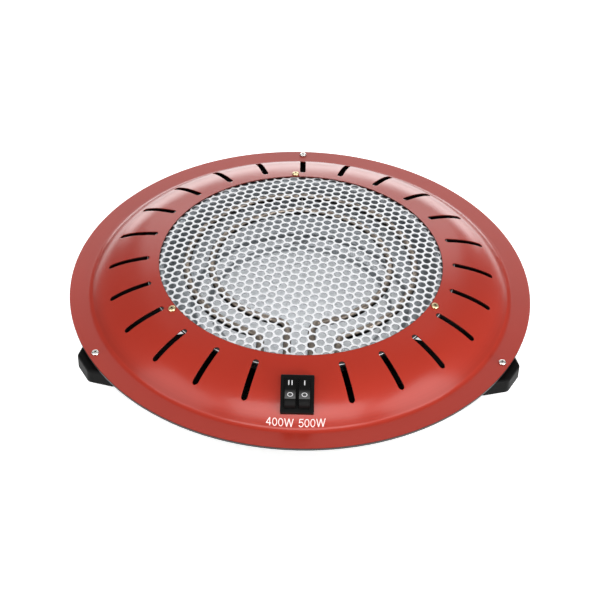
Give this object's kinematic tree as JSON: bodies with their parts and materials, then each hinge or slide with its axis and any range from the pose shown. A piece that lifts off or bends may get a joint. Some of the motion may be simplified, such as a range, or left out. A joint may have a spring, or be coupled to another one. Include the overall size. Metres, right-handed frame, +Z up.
{
  "type": "electric brazier",
  "caption": "Round low electric heater for under a table: slotted dome cover, perforated grille over ring elements, double rocker switch, feet under the rim.",
  "frame": {"origin": "centre of the bounding box's bottom face, on the floor", "axes": "+Z up, -Y towards the switch, +X to the right seen from the switch side"},
  "size_m": [0.39, 0.3959, 0.0777],
  "materials": {
    "cover_paint": "satin",
    "grille_silver": "satin",
    "reflector_bright": "bright",
    "pan_paint": "satin",
    "element_tube": "matte oxide",
    "ceramic_white": "matte",
    "zinc_steel": "satin",
    "foot_black": "gloss",
    "screw_nickel": "polished",
    "screw_brass": "satin",
    "switch_black": "gloss",
    "rocker_black": "gloss",
    "contact_brass": "satin",
    "cutout_body": "matte",
    "block_white": "matte",
    "bush_black": "matte",
    "lead_brown": "matte",
    "lead_black": "matte",
    "lead_blue": "matte",
    "lead_green": "matte"
  },
  "bodies": {
    "heater": {"base_pan": "pan_paint", "cord_bush": "bush_black", "cutout_rivets": "zinc_steel", "cutout_terminals": "contact_brass", "earth_nut": "zinc_steel", "earth_screw": "zinc_steel", "element_beads": "ceramic_white", "element_studs": "zinc_steel", "element_support": "zinc_steel", "foot_back": "foot_black", "foot_front_left": "foot_black", "foot_front_right": "foot_black", "grille": "grille_silver", "grille_nuts": "zinc_steel", "grille_screws": "screw_brass", "heating_element_400w": "element_tube", "heating_element_500w": "element_tube", "lead_400w": "lead_black", "lead_500w": "lead_black", "lead_earth": "lead_green", "lead_feed": "lead_brown", "lead_link": "lead_blue", "lead_live": "lead_brown", "lead_return": "lead_blue", "leg_plate": "zinc_steel", "leg_plate_rivets": "zinc_steel", "reflector": "reflector_bright", "rim_screws": "screw_nickel", "stud_nuts": "zinc_steel", "support_rivets": "zinc_steel", "switch_housing": "switch_black", "switch_terminals": "contact_brass", "terminal_barrels": "contact_brass", "terminal_block": "block_white", "terminal_block_nut": "zinc_steel", "terminal_block_screw": "zinc_steel", "terminal_screws": "zinc_steel", "thermal_cutout": "cutout_body", "top_cover": "cover_paint"},
    "rocker_400w": {"rocker_400w": "rocker_black"},
    "rocker_500w": {"rocker_500w": "rocker_black"},
    "contact_bar_400w": {"contact_bar_400w": "contact_brass"},
    "contact_bar_500w": {"contact_bar_500w": "contact_brass"}
  },
  "joints": [
    {"name": "rocker_400w_tilt", "type": "hinge", "parent": "heater", "child": "rocker_400w", "pos_m": [-0.00615, -0.15604, 0.0602], "axis": [1, 0, 0], "range_deg": [0, 32]},
    {"name": "rocker_500w_tilt", "type": "hinge", "parent": "heater", "child": "rocker_500w", "pos_m": [0.00485, -0.15604, 0.0602], "axis": [1, 0, 0], "range_deg": [0, 32]},
    {"name": "contact_bar_400w_tilt", "type": "hinge", "parent": "heater", "child": "contact_bar_400w", "pos_m": [-0.00615, -0.15166, 0.05033], "axis": [1, 0, 0], "range_deg": [-16, 0]},
    {"name": "contact_bar_500w_tilt", "type": "hinge", "parent": "heater", "child": "contact_bar_500w", "pos_m": [0.00485, -0.15166, 0.05033], "axis": [1, 0, 0], "range_deg": [-16, 0]}
  ],
  "couplings": [
    {"joint": "contact_bar_400w_tilt", "follows": "rocker_400w_tilt", "ratio": -0.5},
    {"joint": "contact_bar_500w_tilt", "follows": "rocker_500w_tilt", "ratio": -0.5}
  ]
}
